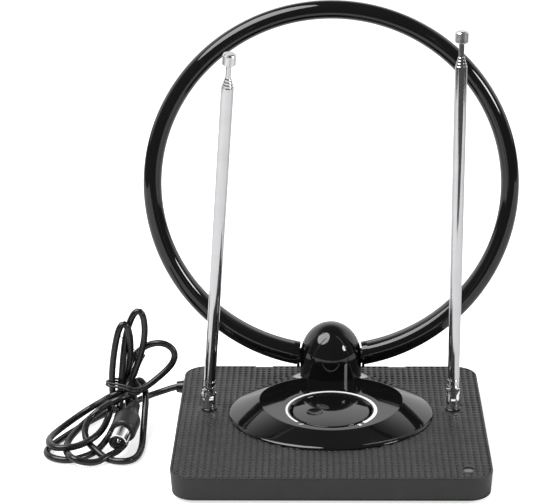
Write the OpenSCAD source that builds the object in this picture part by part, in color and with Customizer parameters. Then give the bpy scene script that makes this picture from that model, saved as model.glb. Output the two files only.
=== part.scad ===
// Set-top aerial: rectangular base with a gain knob, a tilting loop on a domed neck,
// two five-section telescopic rods on swivelling forks, and a tied-up coaxial lead with its plug.
// Origin: centre of the base footprint on the resting plane. +X right, +Y back, +Z up. Millimetres.

/* [Base] */
// Width of the base at its top edge, along X
base_w = 155; // [150:1:160]
// Depth of the base at its top edge, along Y
base_d = 137; // [134:1:145]
// Height of the base's top face above the table
base_h = 13.5; // [13.5:0.5:15]
// Radius of the vertical corners
corner_r = 12; // [9:1:16]
// How far the side walls lean in towards the bottom
draft = 0.8; // [0.2:0.1:1.2]
// Thickness of the rubber pad under the base
pad_t = 1.5; // [1:0.1:1.5]
// Width of the raised rim round the top panel
rim = 1.2; // [0.8:0.1:1.4]

/* [Oval bezel and knob] */
// Half width of the oval bezel
bezel_a = 51.7; // [50:0.1:53]
// Half depth of the oval bezel
bezel_b = 44.2; // [42.5:0.1:45]
// Y of the bezel's centre
bezel_y = 7; // [6:0.5:8]
// Height of the bezel's flat top above the panel
bezel_rise = 6.3; // [5.8:0.1:6.8]
// Half width of the bezel's flat top
plateau_r = 36.5; // [35:0.5:37]
// Y of the widest line of the flat top
plateau_y = 12.6; // [12:0.1:13.2]
// Depth of the flat top in front of its widest line
plateau_front = 40; // [39.6:0.1:40.6]
// Depth of the flat top behind its widest line
plateau_back = 27.3; // [26:0.1:28.5]
// Radius of the gain knob
knob_r = 19.5; // [18:0.5:20]
// Y of the knob's axis
knob_y = -2.7; // [-3:0.1:-2.4]
// Middle radius of the printed scale arc
arc_r = 22.4; // [22.4:0.1:22.8]
// Width of the scale arc at its low end
arc_w_min = 0.9; // [0.8:0.1:1.4]
// Width of the scale arc at its high end
arc_w_max = 1.8; // [1.6:0.1:2.2]

/* [Neck and loop] */
// Radius of the neck and of its dome
neck_r = 16; // [15.5:0.1:16.2]
// Y of the neck's axis
neck_y = 49; // [48:0.5:50]
// Height of the loop's tilt axis, where the neck's dome starts
hinge_z = 27.8; // [27.6:0.1:29]
// Height of the dome above the tilt axis
dome_h = 18.4; // [17.5:0.1:19]
// Radius of the loop's centre line
loop_r = 91.6; // [86:0.1:97]
// Outer radius of the loop's tube over its upper half
loop_tube_r = 4.7; // [4.4:0.1:5]
// Outer radius the tube swells to where it meets the neck
loop_foot_r = 6.2; // [5.6:0.1:6.4]
// How far the loop leans back, in degrees
loop_lean = 3.47; // [0:0.01:8]

/* [Telescopic rods] */
// Distance of each rod's foot from the middle, along X
rod_x = 62.2; // [60:0.1:64]
// Y of both rod feet
rod_y = 12.8; // [10:0.1:16]
// Height of the rods' pivot pins above the table
pivot_z = 21.5; // [21.5:0.1:23.5]
// Turn of the left rod's fork about Z, in degrees
left_turn = 24.8; // [0:0.1:40]
// Forward tilt of the left rod, in degrees
left_tilt = 10.5; // [0:0.1:14]
// Turn of the right rod's fork about Z, in degrees
right_turn = 0; // [-20:0.1:20]
// Forward tilt of the right rod, in degrees
right_tilt = 0; // [0:0.1:14]
// Outer diameter of the outermost tube
rod_d = 6; // [6:0.1:7]
// Step in diameter from one tube to the next
rod_step = 0.8; // [0.75:0.05:0.8]
// Distance from the pivot to the top of the outermost tube
tube_top = 172.5; // [120:0.5:220]
// Distance from the pivot to the top of the cap
cap_top = 189.5; // [189:0.5:190]

/* [Cable and plug] */
// Diameter of the coaxial cable
cable_d = 3.4; // [3:0.1:3.6]
// Turns in the tied hank
hank_turns = 4; // [3:1:4]
// Half length of the hank
hank_a = 40; // [36:0.5:41]
// Half width of the hank
hank_b = 15; // [13:0.5:16]
// Outer diameter of the plug's ring contact
plug_d = 9.5; // [9.3:0.1:9.5]

/* [Hidden] */
$fn = 64;

matte_black = [0.13, 0.13, 0.135];
gloss_black = [0.05, 0.05, 0.055];
rubber_black = [0.09, 0.09, 0.09];
part_black = [0.12, 0.12, 0.14];
insulator_black = [0.08, 0.08, 0.08];
tie_black = [0.1, 0.1, 0.1];
cable_black = [0.15, 0.15, 0.155];
lens_grey = [0.16, 0.16, 0.17];
pot_grey = [0.35, 0.36, 0.38];
chrome = [0.75, 0.76, 0.78];
steel = [0.62, 0.63, 0.65];
brass = [0.78, 0.62, 0.32];
print_white = [0.85, 0.86, 0.87];
board_green = [0.05, 0.32, 0.16];
led_green = [0.25, 0.7, 0.35];
led_wire_red = [0.7, 0.15, 0.12];
rod_wire_grey = [0.75, 0.75, 0.72];
loop_wire_copper = [0.8, 0.55, 0.2];

// levels shared by several pieces
floor_t = 1.8;
panel_t = 1.5;
board_t = 1.2;
pot_h = 5.2;
floor_z = pad_t + floor_t; // top of the tub's floor
panel_z = base_h - panel_t; // underside of the top panel
board_z = panel_z - 0.4 - pot_h - board_t;
board_top = board_z + board_t;
part_z = board_top + 0.02; // underside of the parts on the board
plateau_z = base_h + bezel_rise;
lug_z = panel_z - 4.75; // underside of the rods' contact lugs
running_gap = 0.05;

// where pieces are fixed, seen from above
case_screws_at = corners(55, 57);
neck_screws_at = corners(9, 8, [0, neck_y]);
rod_feet_at = pair(rod_x, rod_y);
pegs_at = [[-40, 7], [40, 7], [0, -31]];
led_x = 65.6;
led_y = -57.9;
cable_exit_y = 54;
cable_exit_z = 7.5;

// ---------- helpers ----------
function unit(v) = v / norm(v);
function reversed(list) = [for (i = [len(list) - 1 : -1 : 0]) list[i]];
function flipped(faces) = [for (f = faces) [f[0], f[2], f[1]]];
function pair(x, y) = [[-x, y], [x, y]];
function corners(x, y, centre = [0, 0]) =
  [for (sx = [-1, 1], sy = [-1, 1]) centre + [sx * x, sy * y]];
// low end of a span that begins near from the middle, on side -1 or 1
function span_start(side, near, length) = side > 0 ? near : -near - length;
function oval(a, b, sides) =
  [for (i = [0 : sides - 1]) [a * cos(360 * i / sides), b * sin(360 * i / sides)]];

module at_each(places, z = 0) {
  for (place = places) translate([place[0], place[1], z]) children();
}
module x_cylinder(start, radius, length) {
  translate(start) rotate([0, 90, 0]) cylinder(r = radius, h = length);
}
module y_cylinder(start, radius, length) {
  translate(start) rotate([-90, 0, 0]) cylinder(r = radius, h = length);
}
module rounded_rect(width, depth, radius) {
  square([width - 2 * radius, depth], center = true);
  square([width, depth - 2 * radius], center = true);
  for (place = corners(width / 2 - radius, depth / 2 - radius)) translate(place) circle(radius);
}
module ring(outer_r, inner_r, height) {
  difference() {
    cylinder(r = outer_r, h = height);
    translate([0, 0, -1]) cylinder(r = inner_r, h = height + 2);
  }
}
// a cross-slotted screw pointing up, with its head at the bottom
module screw(head_r, head_h, shank_r, length) {
  tip_h = 0.6;
  difference() {
    union() {
      cylinder(r = head_r, h = head_h);
      translate([0, 0, head_h]) cylinder(r = shank_r, h = length - tip_h);
      translate([0, 0, head_h + length - tip_h])
        cylinder(r1 = shank_r, r2 = shank_r * 0.5, h = tip_h);
    }
    for (slot = [[2.2, 0.5], [0.5, 2.2]])
      translate([-slot[0] / 2, -slot[1] / 2, -0.01]) cube([slot[0], slot[1], head_h * 0.5]);
  }
}

// Catmull-Rom point at t between p1 and p2
function catmull(p0, p1, p2, p3, t) = 0.5 * (2 * p1 + (p2 - p0) * t
  + (2 * p0 - 5 * p1 + 4 * p2 - p3) * t * t + (3 * p1 - p0 - 3 * p2 + p3) * t * t * t);
// a smooth line through way-points, with the given steps between each pair
function smooth(way, steps) = let (last = len(way) - 1) concat(
  [for (i = [0 : last - 1], j = [0 : steps - 1])
    catmull(way[max(i - 1, 0)], way[i], way[i + 1], way[min(i + 2, last)], j / steps)],
  [way[last]]);
function tangent(path, i) = unit(path[min(i + 1, len(path) - 1)] - path[max(i - 1, 0)]);
// the vector v made square to the path at point i, so the cord doesn't twist
function carried(path, v, i) =
  i < len(path) ? unit(v - (v * tangent(path, i)) * tangent(path, i)) : v;
// a round cord along a path, with flat ends
module cord(path, radius, sides) {
  count = len(path);
  first_across = unit(cross(tangent(path, 0), [0.1, 0.2, 1]));
  across = [for (i = 0, v = first_across; i < count; v = carried(path, v, i + 1), i = i + 1) v];
  points = [for (i = [0 : count - 1], j = [0 : sides - 1])
    let (up = cross(tangent(path, i), across[i]), angle = 360 * j / sides)
      path[i] + radius * (cos(angle) * across[i] + sin(angle) * up)];
  quads = [for (i = [0 : count - 2], j = [0 : sides - 1])
    let (k = (j + 1) % sides, row = i * sides, next = row + sides)
      [row + j, row + k, next + k, next + j]];
  polyhedron(points = points, faces = concat(
    [for (q = quads) [q[0], q[3], q[2]]],
    [for (q = quads) [q[0], q[2], q[1]]],
    [[for (j = [0 : sides - 1]) j]],
    [[for (j = [sides - 1 : -1 : 0]) (count - 1) * sides + j]]));
}
module wire(way, radius) { cord(smooth(way, 4), radius, 8); }

// ---------- base ----------
wall = 2.8;
fit_gap = 0.2;
panel_inset = rim + fit_gap;
notch_x = 35.5;
notch_size = [9, 6, 3];
board_centre = [-6, 6];
board_size = [66, 42];
board_holes_at = [board_centre + [-28, 16], board_centre + [28, -16]];
ballast_size = [96, 26];
ballast_t = 2.5;
ballast_y = -46;
ballast_holes_at = pair(38, ballast_y);

module base_tub() {
  color(matte_black) {
    difference() {
      hull() {
        translate([0, 0, pad_t]) linear_extrude(0.01)
          rounded_rect(base_w - 2 * draft, base_d - 2 * draft, corner_r, $fn = 32);
        translate([0, 0, base_h - 0.01]) linear_extrude(0.01)
          rounded_rect(base_w, base_d, corner_r, $fn = 32);
      }
      translate([0, 0, floor_z]) linear_extrude(base_h)
        rounded_rect(base_w - 2 * wall, base_d - 2 * wall, corner_r - wall);
      translate([0, 0, panel_z]) linear_extrude(base_h)
        rounded_rect(base_w - 2 * rim, base_d - 2 * rim, corner_r - rim);
      // two shallow notches in the back edge
      at_each(pair(notch_x, base_d / 2), base_h - 1)
        translate([-notch_size[0] / 2, -notch_size[1] / 2, 0]) cube(notch_size);
      at_each(case_screws_at) {
        cylinder(r = 1.4, h = 8);
        cylinder(r = 2.5, h = pad_t + 0.9);
      }
      // cable hole in the left wall
      translate([-base_w / 2 + 6, cable_exit_y, cable_exit_z])
        rotate([0, -90, 0]) cylinder(r = 2.9, h = 12);
    }
    at_each(board_holes_at, floor_z - 0.2) ring(2.6, 0.95, board_z - floor_z + 0.2);
    at_each(ballast_holes_at, floor_z - 0.2) cylinder(r = 1.5, h = ballast_t + 0.9);
  }
}
module top_panel() {
  through = base_h + 1;
  color(matte_black) difference() {
    union() {
      translate([0, 0, panel_z]) linear_extrude(panel_t)
        rounded_rect(base_w - 2 * panel_inset, base_d - 2 * panel_inset, corner_r - panel_inset);
      at_each(case_screws_at, floor_z + 0.05) cylinder(r = 3.2, h = panel_z - floor_z);
      at_each(rod_feet_at, panel_z - 4) cylinder(r = 5.5, h = 4.5);
    }
    at_each(case_screws_at, floor_z - 1) cylinder(r = 1.2, h = panel_z - floor_z + 0.6);
    at_each(rod_feet_at) cylinder(r = 3.25, h = through);
    translate([0, neck_y, 0]) cylinder(r = 7, h = through);
    at_each(neck_screws_at) cylinder(r = 1.3, h = through);
    translate([0, knob_y, 0]) cylinder(r = 3.6, h = through);
    translate([led_x, led_y, 0]) cylinder(r = 2.8, h = through);
    at_each(pegs_at) cylinder(r = 1.6, h = through);
  }
}
module anti_slip_pad() {
  color(rubber_black) linear_extrude(pad_t) rounded_rect(base_w - 13, base_d - 13, corner_r - 4);
}
module case_screws() {
  color(steel) at_each(case_screws_at, pad_t + 0.05)
    screw(head_r = 2.3, head_h = 0.8, shank_r = 1.15, length = base_h - pad_t - 5.5);
}
module ballast_plate() {
  color(steel) translate([0, 0, floor_z + 0.02]) difference() {
    translate([0, ballast_y, 0]) linear_extrude(ballast_t)
      rounded_rect(ballast_size[0], ballast_size[1], 3);
    at_each(ballast_holes_at, -1) cylinder(r = 1.6, h = 5);
  }
}

// ---------- bezel, scale and knob ----------
knob_well_r = knob_r + 0.5;
scale_z = plateau_z + 0.01;
print_t = 0.15;
marks_r = arc_r + 0.6;
arc_steps = 76;
knob_bottom = base_h + 0.6;
knob_edge = plateau_z - 0.4;
knob_underside = knob_edge - 1.4;
knob_hollow_r = knob_r - 1.6;
knob_top_r = knob_r - 0.6;
dimple_r = 9.2;
shaft_bore_r = 3.02;

// the flat top's outline: two half ellipses that meet on its widest line
function egg(inset, sides) = [for (i = [0 : sides - 1])
  let (angle = 360 * i / sides, depth = sin(angle) > 0 ? plateau_back : plateau_front)
    [(plateau_r - inset) * cos(angle), (depth - inset) * sin(angle)]];
// an oval stretched back round the neck, with sides that rise to the flat top
module dish(inset, lip, top) {
  hull() {
    translate([0, bezel_y, base_h - 0.01]) linear_extrude(lip)
      polygon(oval(bezel_a - inset, bezel_b - inset, 72));
    translate([0, neck_y - 1.5, base_h - 0.01]) linear_extrude(lip)
      circle(r = neck_r + 2.3 - inset, $fn = 32);
    translate([0, plateau_y, top - 0.1]) linear_extrude(0.1) polygon(egg(inset, 72));
  }
}
module neck_clearance() {
  translate([0, neck_y, base_h - 1]) cylinder(r = neck_r + 0.15, h = 12);
}
module bezel() {
  color(gloss_black) {
    difference() {
      translate([0, 0, 0.01]) dish(0, 0.8, plateau_z - 0.01);
      translate([0, 0, -0.6]) dish(1.8, 0.5, plateau_z - 0.8);
      translate([0, knob_y, base_h - 1]) cylinder(r = knob_well_r, h = 12);
      translate([0, knob_y, plateau_z - 0.8])
        cylinder(r1 = knob_well_r, r2 = knob_r + 1.5, h = 0.82);
      neck_clearance();
    }
    // wall round the knob's well
    difference() {
      translate([0, knob_y, base_h + 0.02]) ring(knob_r + 2, knob_well_r, bezel_rise - 1);
      neck_clearance();
    }
    at_each(pegs_at, base_h - 2.2) cylinder(r = 1.5, h = bezel_rise - 0.6);
  }
}

// one edge of the scale arc, half the arc's width outside (1) or inside (-1) its middle
function arc_edge(side) = [for (i = [0 : arc_steps])
  let (angle = 222 - 266 * i / arc_steps,
    width = arc_w_min + (arc_w_max - arc_w_min) * i / arc_steps)
    (arc_r + side * width / 2) * [cos(angle), sin(angle)]];
module scale_arc() {
  color(print_white) translate([0, knob_y, scale_z]) linear_extrude(print_t)
    polygon(concat(arc_edge(1), reversed(arc_edge(-1))));
}
// a minus at the low end of the scale and a plus at the high end
module scale_marks() {
  color(print_white) translate([0, knob_y, scale_z]) {
    translate([marks_r * cos(230), marks_r * sin(230)])
      translate([-1.1, -0.25]) cube([2.2, 0.5, print_t]);
    translate([marks_r * cos(-52), marks_r * sin(-52)]) linear_extrude(print_t) {
      square([2.4, 0.6], center = true);
      square([0.6, 2.4], center = true);
    }
  }
}

// height of the knob's crowned top at a radius
function crown_z(radius) = knob_edge + 1.1 * (1 - pow(radius / knob_top_r, 2));
module knob() {
  hub_r = 5.5;
  color(gloss_black) translate([0, knob_y, 0]) difference() {
    rotate_extrude() polygon(concat(
      [[shaft_bore_r, knob_bottom], [hub_r, knob_bottom], [hub_r, knob_underside],
        [knob_hollow_r, knob_underside], [knob_hollow_r, knob_bottom],
        [knob_r, knob_bottom], [knob_r, knob_edge - 0.6]],
      [for (i = [0 : 6]) let (radius = knob_top_r * (1 - i / 6)) [radius, crown_z(radius)]],
      [[0, knob_underside], [shaft_bore_r, knob_underside]]));
    // round dimple in the top
    translate([dimple_r * cos(202), dimple_r * sin(202), knob_edge + 8.96]) sphere(r = dimple_r);
  }
}
module pot_shaft() {
  bottom = board_top + 0.7;
  color(steel) translate([0, knob_y, bottom]) cylinder(r = 3, h = knob_edge - 1.45 - bottom);
}
module potentiometer() {
  bore_r = 3.05;
  color(pot_grey) translate([0, knob_y, board_top]) difference() {
    union() {
      cylinder(r = 8.5, h = pot_h);
      translate([-6, -12, 0]) cube([12, 8, 1.6]);
      translate([0, 0, pot_h - 0.1]) ring(3.5, bore_r, panel_t + 0.65);
    }
    translate([0, 0, 0.6]) cylinder(r = bore_r, h = 12);
  }
}
// a thin hexagonal nut in the well under the knob
module pot_nut() {
  color(steel) translate([0, knob_y, base_h + 0.05]) difference() {
    cylinder(r = 4.9, h = 0.45, $fn = 6);
    translate([0, 0, -1]) cylinder(r = 3.55, h = 3);
  }
}

// ---------- neck ----------
hinge = [0, neck_y, hinge_z];
shaft_r = 4; // radius of the trunnions that the loop tilts on
neck_wall = 2;
clamp_x = 8;
clamp_z = hinge_z - 7.2;

module neck_solid(radius) {
  translate([0, neck_y, base_h + 0.02]) cylinder(r = radius, h = hinge_z - base_h - 0.02);
  translate(hinge) intersection() {
    scale([1, 1, (dome_h - neck_r + radius) / radius]) sphere(r = radius);
    cylinder(r = radius + 1, h = dome_h + 1);
  }
}
module neck_shell() {
  inner_r = neck_r - neck_wall;
  difference() {
    neck_solid(neck_r);
    translate([0, neck_y, base_h + 2]) cylinder(r = inner_r, h = hinge_z - base_h - 2);
    translate(hinge) intersection() {
      scale([1, 1, (dome_h - neck_wall) / inner_r]) sphere(r = inner_r);
      translate([0, 0, -0.01]) cylinder(r = neck_r, h = dome_h);
    }
  }
}
// shaft bearings, clamp bosses and base screw bosses, kept inside the shell
module neck_bosses() {
  intersection() {
    neck_solid(neck_r - 1);
    union() {
      for (side = [-1, 1])
        translate([span_start(side, 9, 7), neck_y - 7, hinge_z - 5.6]) cube([7, 14, 12]);
      for (x = [-clamp_x, clamp_x]) y_cylinder([x, neck_y - 14, clamp_z], 2.3, 28);
      at_each(neck_screws_at, base_h) cylinder(r = 2.8, h = 5.5);
    }
  }
}
module neck_body() {
  difference() {
    union() {
      neck_shell();
      neck_bosses();
    }
    x_cylinder([-20, neck_y, hinge_z], shaft_r + running_gap, 40);
    translate([0, neck_y, base_h - 1]) cylinder(r = 7, h = 4);
    at_each(neck_screws_at, base_h - 1) cylinder(r = 1.2, h = 6);
  }
}
module neck_front() {
  color(gloss_black) difference() {
    intersection() {
      neck_body();
      translate([-20, neck_y - 20, base_h - 1]) cube([40, 20 - 0.01, 50]);
    }
    for (x = [-clamp_x, clamp_x]) y_cylinder([x, neck_y - 9.5, clamp_z], 1.2, 12);
  }
}
module neck_rear() {
  color(gloss_black) difference() {
    intersection() {
      neck_body();
      translate([-20, neck_y + 0.01, base_h - 1]) cube([40, 20, 50]);
    }
    for (x = [-clamp_x, clamp_x]) {
      y_cylinder([x, neck_y - 1, clamp_z], 1.3, 20);
      y_cylinder([x, neck_y + 7.5, clamp_z], 2.4, 12);
    }
  }
}
module neck_clamp_screws() {
  color(steel) for (x = [-clamp_x, clamp_x])
    translate([x, neck_y + 9.2, clamp_z]) rotate([90, 0, 0])
      screw(head_r = 2.2, head_h = 1.6, shank_r = 1.1, length = 14);
}
module neck_base_screws() {
  color(steel) at_each(neck_screws_at, panel_z - 1.45)
    screw(head_r = 2.3, head_h = 1.4, shank_r = 1.1, length = 6.3);
}

// ---------- electronics ----------
can_centre = [-27, 9];
can_size = [16, 18, 4.2];
can_wall = 0.4;

module circuit_board() {
  color(board_green) translate([0, 0, board_z + 0.01]) difference() {
    translate([board_centre[0] - board_size[0] / 2, board_centre[1] - board_size[1] / 2, 0])
      cube([board_size[0], board_size[1], board_t - 0.02]);
    at_each(board_holes_at, -1) cylinder(r = 1.4, h = 4);
  }
}
module board_screws() {
  color(steel) at_each(board_holes_at, board_top + 1.3) rotate([180, 0, 0])
    screw(head_r = 2.2, head_h = 1.25, shank_r = 0.9, length = 3);
}
// open-bottomed box with three holes in its top
module shield_can() {
  color(steel)
    translate([can_centre[0] - can_size[0] / 2, can_centre[1] - can_size[1] / 2, part_z])
      difference() {
        cube(can_size);
        translate([can_wall, can_wall, -1])
          cube([can_size[0] - 2 * can_wall, can_size[1] - 2 * can_wall, 4.8]);
        for (i = [0 : 2]) translate([5 + 3 * i, can_size[1] / 2, 2]) cylinder(r = 0.8, h = 5);
      }
}
module board_components() {
  color(part_black) translate([0, 0, part_z]) {
    translate([can_centre[0] - 2.5, can_centre[1] - 2, 0]) cube([5, 4, 1.5]);
    for (i = [0 : 1]) translate([15 + 7 * i, 24, 0]) cylinder(r = 2.5, h = 5);
    for (i = [0 : 3]) translate([13 + 3.2 * i, 14, 0]) cube([1.6, 3.2, 1.1]);
    for (i = [0 : 2]) translate([-14 + 4 * i, 22, 0]) cube([2, 1.2, 0.8]);
    translate([14, 2, 0]) cube([6, 6, 4]);
  }
}
module led() {
  dome_r = 1.5;
  color(led_green) translate([led_x, led_y, panel_z - 4.1]) {
    cylinder(r = 1.9, h = 0.9);
    cylinder(r = dome_r, h = 1.8);
    translate([0, 0, 1.8]) sphere(r = dome_r);
  }
}
module led_lens() {
  color(lens_grey) translate([led_x, led_y, 0]) {
    translate([0, 0, panel_z - 0.75]) cylinder(r = 3.6, h = 0.7);
    translate([0, 0, panel_z - 0.1]) cylinder(r = 2.7, h = panel_t - 0.7);
  }
}
module led_wires() {
  color(led_wire_red) for (side = [-1, 1]) wire([
    [led_x + side * 0.7, led_y, panel_z - 4.15],
    [led_x + side * 0.7, led_y + 3, floor_z + 1.5],
    [led_x - 3 + side * 0.75, -30, floor_z + 1],
    [45, -14 + side * 0.8, floor_z + 1],
    [33, -6 + side * 0.8, floor_z + 1],
    [25, -3 + side * 0.8, board_z - 0.6]], 0.42);
}
foot_bore_r = 2.45; // hole for a rod foot's stem, in collar and lug
module rod_collars() {
  flange_r = 4.05;
  color(matte_black) at_each(rod_feet_at) difference() {
    union() {
      translate([0, 0, base_h + 0.02]) cylinder(r = flange_r, h = 0.7);
      translate([0, 0, base_h + 0.72]) cylinder(r1 = flange_r, r2 = 3.75, h = 0.28);
      translate([0, 0, panel_z - 4]) cylinder(r = 3.2, h = panel_t + 4.2);
    }
    cylinder(r = foot_bore_r, h = base_h + 3);
  }
}
// washers with a tab pointing to the middle of the base
module rod_contact_lugs() {
  lug_t = 0.6;
  tab = [9, 3, lug_t];
  color(brass) for (side = [-1, 1]) translate([side * rod_x, rod_y, lug_z]) difference() {
    union() {
      cylinder(r = 4.4, h = lug_t);
      translate([span_start(-side, 0, tab[0]), -tab[1] / 2, 0]) cube(tab);
    }
    translate([0, 0, -1]) cylinder(r = foot_bore_r, h = 3);
  }
}
module rod_lead_wires() {
  // side, X of the last bend, X of the board end, Y of both
  routes = [[-1, -43, -36, 4], [1, 32, 24, 2]];
  color(rod_wire_grey) for (route = routes) wire([
    [route[0] * (rod_x - 7.5), rod_y, lug_z - 0.55],
    [route[0] * (rod_x - 12), rod_y - 3, lug_z - 0.7],
    [route[1], route[3], board_z - 0.75],
    [route[2], route[3], board_z - 0.75]], 0.5);
}
module loop_lead_wires() {
  color(loop_wire_copper) for (side = [-1, 1]) wire([
    [side * 3.2, neck_y, hinge_z],
    [side * 2.2, neck_y - 1, hinge_z - 6],
    [side * 2.2, neck_y - 2, base_h],
    [side * 3, neck_y - 10, panel_z - 3],
    [side * 3, 33, board_top + 2],
    [side * 3, 27, board_top + 0.6]], 0.45);
}

// ---------- loop ----------
// angles round the loop are measured either way from its bottom
loop_up = loop_r - 0.2; // loop centre above the tilt axis
shell_t = 1.4;
stub_angle = 10.6; // where the trunnions' curved stubs begin
shell_end_angle = asin(20 / loop_r);
plug_end_angle = shell_end_angle + 4; // where the stubs end inside the shells
half_sides = 9; // facets round half the tube

// the tube's outer radius at an angle from the bottom of the loop
function tube_r_at(angle) = loop_tube_r
  + (cos(angle) > 0 ? (loop_foot_r - loop_tube_r) * cos(angle) * cos(angle) : 0);
// half circle about the tube's centre line: distance from the loop's centre, depth
function half_circle(radius) = [for (j = [0 : half_sides]) let (angle = 180 * j / half_sides)
  [loop_r + radius * cos(angle), max(radius * sin(angle), 0.01)]];

module in_loop() { translate(hinge) rotate([-loop_lean, 0, 0]) children(); }
module loop_arc(start, sweep, radius) {
  translate([0, 0, loop_up]) rotate([90, 0, 0]) rotate([0, 0, -90 + start])
    rotate_extrude(angle = sweep, $fn = 128) translate([loop_r, 0]) circle(radius);
}
// front (1) or rear (-1) half of the hollow tube, split in the loop's plane
module half_tube(side) {
  steps = 90;
  row = 2 * half_sides + 2; // points in one cross-section
  points = [for (i = [0 : steps])
    let (angle = shell_end_angle + (360 - 2 * shell_end_angle) * i / steps,
      outer_r = tube_r_at(angle))
      for (q = concat(half_circle(outer_r), reversed(half_circle(outer_r - shell_t))))
        [q[0] * sin(angle), -side * q[1], loop_up - q[0] * cos(angle)]];
  skin = [for (i = [0 : steps - 1], j = [0 : row - 1])
    let (k = (j + 1) % row, this = i * row, next = this + row)
      each [[this + j, next + j, next + k], [this + j, next + k, this + k]]];
  first_end = [for (j = [0 : half_sides - 1])
    each [[j, j + 1, row - 2 - j], [j, row - 2 - j, row - 1 - j]]];
  last_end = [for (f = flipped(first_end)) f + steps * row * [1, 1, 1]];
  faces = concat(skin, first_end, last_end);
  polyhedron(points = points, faces = side < 0 ? faces : flipped(faces));
}
module loop_front_shell() { color(gloss_black) in_loop() half_tube(1); }
module loop_rear_shell() { color(gloss_black) in_loop() half_tube(-1); }
module loop_conductor() {
  start = plug_end_angle + 0.3;
  color(brass) in_loop() loop_arc(start, 360 - 2 * start, 2);
}
// a curved stub of the loop's tube, from its start to an end angle on one side
module trunnion_stub(side, end, radius) {
  sweep = end - stub_angle;
  loop_arc(span_start(side, stub_angle, sweep), sweep, radius);
}
module trunnion_part(side, near, length, radius) {
  x_cylinder([span_start(side, near, length), 0, 0], radius, length);
}
module trunnion(side) {
  color(gloss_black) in_loop() difference() {
    union() {
      trunnion_part(side, near = 5, length = neck_r - 4.4, radius = shaft_r);
      trunnion_part(side, near = 5.4, length = 3, radius = 4.8);
      trunnion_part(side, near = neck_r + 0.3, length = 1.4, radius = loop_foot_r);
      trunnion_stub(side, shell_end_angle - 0.02, tube_r_at(shell_end_angle));
      trunnion_stub(side, plug_end_angle, tube_r_at(plug_end_angle) - shell_t - 0.1);
    }
    trunnion_part(side, near = 4, length = 10, radius = 1.6);
  }
}
module loop_trunnion_left() { trunnion(-1); }
module loop_trunnion_right() { trunnion(1); }

// ---------- telescopic rods ----------
// side is -1 for the left rod and 1 for the right; sections are counted from the outermost tube,
// and heights along a rod are measured from its pivot
foot_r = 3.45;
slot_z = pivot_z - 3.1;
tip_d = outer_d(4) - 1;
groove_heights = [5.6, 8.8]; // rolled grooves that hold the outermost tube on its tongue
groove_w = 0.55; // half width
groove_depth = 0.35;

function outer_d(section) = rod_d - rod_step * (section - 1);
function bore(section) = (section < 4 ? outer_d(section + 1) : tip_d) + 2 * running_gap;
function section_bottom(section) = 12.5 + 0.5 * (section - 1);
function section_top(section) = tube_top + 1.4 * (section - 1);
// profile points of the two grooves in a wall of the given radius
function grooves(radius) = [for (z = groove_heights)
  each [[radius, z - groove_w], [radius - groove_depth, z], [radius, z + groove_w]]];
// profile points of a tube's top edge, from the outside in
function tube_lip(section, bevel) =
  let (outer = outer_d(section) / 2, inner = bore(section) / 2, top = section_top(section))
    [[outer, top - 0.3], [outer - bevel, top], [inner + 0.05, top], [inner, top - 0.1]];

module on_foot(side) {
  translate([side * rod_x, rod_y, 0])
    rotate([0, 0, side < 0 ? left_turn : right_turn]) children();
}
module on_rod(side) {
  on_foot(side) translate([0, 0, pivot_z])
    rotate([side < 0 ? left_tilt : right_tilt, 0, 0]) children();
}
// a stem through the panel with a fork on top
module foot(side) {
  fork_r = 3.1;
  color(chrome) on_foot(side) difference() {
    union() {
      translate([0, 0, lug_z]) cylinder(r = 2.4, h = base_h + 1.2 - lug_z);
      translate([0, 0, base_h + 1.1]) cylinder(r = foot_r, h = slot_z - base_h - 1.1 + 0.2);
      intersection() {
        translate([0, 0, slot_z]) cylinder(r = foot_r, h = 7);
        union() {
          translate([-5, -fork_r, slot_z - 0.1]) cube([10, 2 * fork_r, 3.2]);
          x_cylinder([-5, 0, pivot_z], fork_r, 10);
        }
      }
    }
    translate([-1.15, -5, slot_z]) cube([2.3, 10, 9]);
    x_cylinder([-5, 0, pivot_z], 1.03, 10);
    for (end = [-1, 1]) x_cylinder([span_start(end, 2.85, 3), 0, pivot_z], 1.75, 3);
    translate([0, 0, lug_z - 1]) cylinder(r = 1.15, h = 7);
  }
}
module foot_screw(side) {
  color(steel) on_foot(side) translate([0, 0, lug_z - 1.7])
    screw(head_r = 3.9, head_h = 1.65, shank_r = 1.1, length = 5.6);
}
module pivot_pin(side) {
  color(chrome) on_foot(side) {
    x_cylinder([-3.4, 0, pivot_z], 1, 6.8);
    for (x = [-3.4, 2.9]) x_cylinder([x, 0, pivot_z], 1.65, 0.5);
  }
}
// the flat eye in the fork and the plug it carries inside the outermost tube
module tongue(side) {
  plug_r = bore(1) / 2 - 0.03;
  eye_r = 2.55;
  color(chrome) on_rod(side) difference() {
    union() {
      intersection() {
        translate([-1.1, -4, -4]) cube([2.2, 8, 8.6]);
        union() {
          x_cylinder([-3, 0, 0], eye_r, 6);
          translate([-3, -eye_r, 0]) cube([6, 2 * eye_r, 5]);
        }
      }
      rotate_extrude() polygon(concat([[0, 4], [plug_r, 4]], grooves(plug_r),
        [[plug_r, 11.6], [plug_r - 0.5, 12.1], [0, 12.1]]));
    }
    x_cylinder([-4, 0, 0], 1.05, 8);
  }
}
module outermost_tube(side) {
  bottom = 4.5;
  outer = outer_d(1) / 2;
  inner = bore(1) / 2;
  color(chrome) on_rod(side) rotate_extrude() polygon(concat(
    [[outer, bottom]], grooves(outer), tube_lip(1, 0.2),
    reversed(grooves(inner)), [[inner, bottom]]));
}
module inner_tube(side, section) {
  bottom = section_bottom(section);
  color(chrome) on_rod(side) rotate_extrude() polygon(concat(
    [[bore(section) / 2, bottom], [outer_d(section) / 2, bottom]], tube_lip(section, 0.18)));
}
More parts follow.
